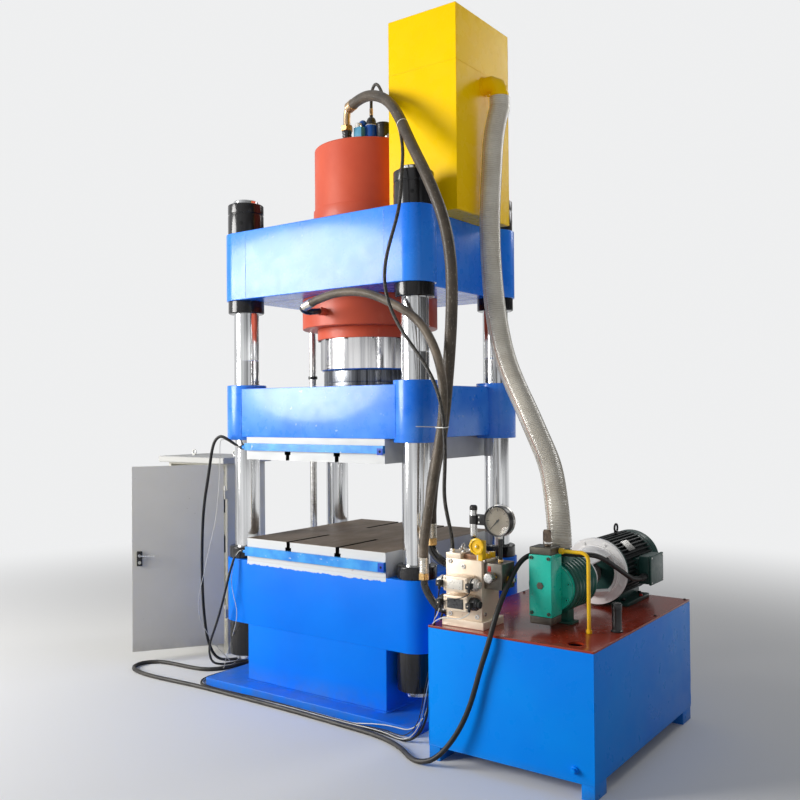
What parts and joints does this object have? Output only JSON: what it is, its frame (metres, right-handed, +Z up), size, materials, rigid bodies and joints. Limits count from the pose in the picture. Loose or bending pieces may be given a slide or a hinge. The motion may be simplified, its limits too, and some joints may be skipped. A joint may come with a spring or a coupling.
{
  "type": "hydraulic press",
  "caption": "Four-column hydraulic press with moving slider, T-slotted tables, overhead filling tank, hoses, oil power unit and control cabinet.",
  "frame": {"origin": "on the floor, on the axis of the main cylinder, at the underside of the base plate", "axes": "+Z up along the ram, -Y towards the working front, +X towards the power unit, cabinet at -X"},
  "size_m": [3.579, 1.57, 3.8317],
  "materials": {
    "base": "semi-gloss blue paint",
    "crown": "semi-gloss blue paint",
    "column_fl": "hard chrome, ground",
    "column_fr": "hard chrome, ground",
    "column_bl": "hard chrome, ground",
    "column_br": "hard chrome, ground",
    "top_nut_fl": "blackened steel",
    "top_nut_fr": "blackened steel",
    "top_nut_bl": "blackened steel",
    "top_nut_br": "blackened steel",
    "lower_platen": "ground steel",
    "upper_platen": "ground steel",
    "lower_channel": "semi-gloss blue paint",
    "upper_channel": "semi-gloss blue paint",
    "slider": "semi-gloss blue paint",
    "main_cylinder": "red-oxide primer",
    "cylinder_ring_nut": "blackened steel",
    "cylinder_gland": "red-oxide primer",
    "ram": "hard chrome, ground",
    "ram_foot_ring": "blackened steel",
    "prefill_valve": "semi-gloss blue paint",
    "filling_tank": "gloss yellow paint",
    "tank_outlet": "gloss yellow paint",
    "oil_tank": "semi-gloss blue paint",
    "tank_lid": "red-oxide primer",
    "pump_body": "dark green paint",
    "pump_control_block": "teal paint",
    "pump_adjuster": "blackened steel",
    "bell_housing": "white paint",
    "motor_housing": "dark green paint",
    "motor_rotor": "ground steel",
    "fan_cover": "dark green paint",
    "terminal_box": "dark green paint",
    "breather_post": "blackened steel",
    "drain_pipe": "gloss yellow paint",
    "manifold": "zinc-plated steel",
    "solenoid_valve_upper": "ground steel",
    "solenoid_valve_lower": "ground steel",
    "relief_valve": "ground steel",
    "gauge_case": "blackened steel",
    "gauge_needle": "white paint",
    "gauge_post": "ground steel",
    "handwheel": "gloss yellow paint",
    "cabinet_body": "textured light grey paint",
    "gear_plate": "ground steel",
    "cabinet_door": "textured light grey paint",
    "door_lever": "hard chrome, ground",
    "limit_rail": "ground steel",
    "pressure_fitting_top": "blackened steel",
    "return_fitting_top": "blackened steel",
    "pressure_fitting_low": "blackened steel",
    "return_fitting_low": "blackened steel",
    "pressure_hose": "black rubber",
    "return_hose": "black rubber",
    "pilot_hose": "black rubber",
    "suction_hose": "milky ribbed plastic",
    "slider_cable": "black rubber",
    "table_cable": "black rubber",
    "motor_cable": "black rubber",
    "valve_cable": "black rubber"
  },
  "bodies": {
    "press_frame": {"base": "base", "crown": "crown", "column_fl": "column_fl", "column_fr": "column_fr", "column_bl": "column_bl", "column_br": "column_br", "top_nut_fl": "top_nut_fl", "top_nut_fr": "top_nut_fr", "top_nut_bl": "top_nut_bl", "top_nut_br": "top_nut_br", "lower_platen": "lower_platen", "lower_channel": "lower_channel", "main_cylinder": "main_cylinder", "cylinder_ring_nut": "cylinder_ring_nut", "cylinder_gland": "cylinder_gland", "prefill_valve": "prefill_valve", "filling_tank": "filling_tank", "tank_outlet": "tank_outlet", "oil_tank": "oil_tank", "tank_lid": "tank_lid", "pump_body": "pump_body", "pump_control_block": "pump_control_block", "bell_housing": "bell_housing", "motor_housing": "motor_housing", "fan_cover": "fan_cover", "terminal_box": "terminal_box", "breather_post": "breather_post", "drain_pipe": "drain_pipe", "manifold": "manifold", "solenoid_valve_upper": "solenoid_valve_upper", "solenoid_valve_lower": "solenoid_valve_lower", "relief_valve": "relief_valve", "gauge_case": "gauge_case", "gauge_post": "gauge_post", "cabinet_body": "cabinet_body", "gear_plate": "gear_plate", "limit_rail": "limit_rail", "pressure_fitting_top": "pressure_fitting_top", "return_fitting_top": "return_fitting_top", "pressure_fitting_low": "pressure_fitting_low", "return_fitting_low": "return_fitting_low", "pressure_hose": "pressure_hose", "return_hose": "return_hose", "pilot_hose": "pilot_hose", "suction_hose": "suction_hose", "slider_cable": "slider_cable", "table_cable": "table_cable", "motor_cable": "motor_cable", "valve_cable": "valve_cable"},
    "slider_body": {"slider": "slider", "ram": "ram", "ram_foot_ring": "ram_foot_ring", "upper_platen": "upper_platen", "upper_channel": "upper_channel"},
    "rotor_body": {"motor_rotor": "motor_rotor"},
    "needle_body": {"gauge_needle": "gauge_needle"},
    "wheel_body": {"handwheel": "handwheel"},
    "adjuster_body": {"pump_adjuster": "pump_adjuster"},
    "door_body": {"cabinet_door": "cabinet_door"},
    "lever_body": {"door_lever": "door_lever"}
  },
  "joints": [
    {"name": "slider_stroke", "type": "slide", "parent": "press_frame", "child": "slider_body", "axis": [0, 0, 1], "range_m": [-0.44, 0.18]},
    {"name": "motor_spin", "type": "hinge", "parent": "press_frame", "child": "rotor_body", "pos_m": [1.455, 0, 0.805], "axis": [0, 1, 0], "continuous": true},
    {"name": "needle_turn", "type": "hinge", "parent": "press_frame", "child": "needle_body", "pos_m": [1.283, -0.7113, 1.12], "axis": [0, 1, 0], "range_deg": [0, 270]},
    {"name": "handwheel_turn", "type": "hinge", "parent": "press_frame", "child": "wheel_body", "pos_m": [1.207, 0, 1.006], "axis": [0, 1, 0], "continuous": true},
    {"name": "adjuster_turn", "type": "hinge", "parent": "press_frame", "child": "adjuster_body", "pos_m": [1.467, -0.5775, 1.004], "axis": [0, 0, 1], "continuous": true},
    {"name": "door_hinge", "type": "hinge", "parent": "press_frame", "child": "door_body", "pos_m": [-1.146, -0.133, 0.68], "axis": [0, 0, 1], "range_deg": [-54.4, 35.6]},
    {"name": "lever_turn", "type": "hinge", "parent": "door_body", "child": "lever_body", "pos_m": [-1.4618, -0.5883, 0.6992], "axis": [-0.8131, 0.5821, 0], "range_deg": [0, 90]}
  ]
}
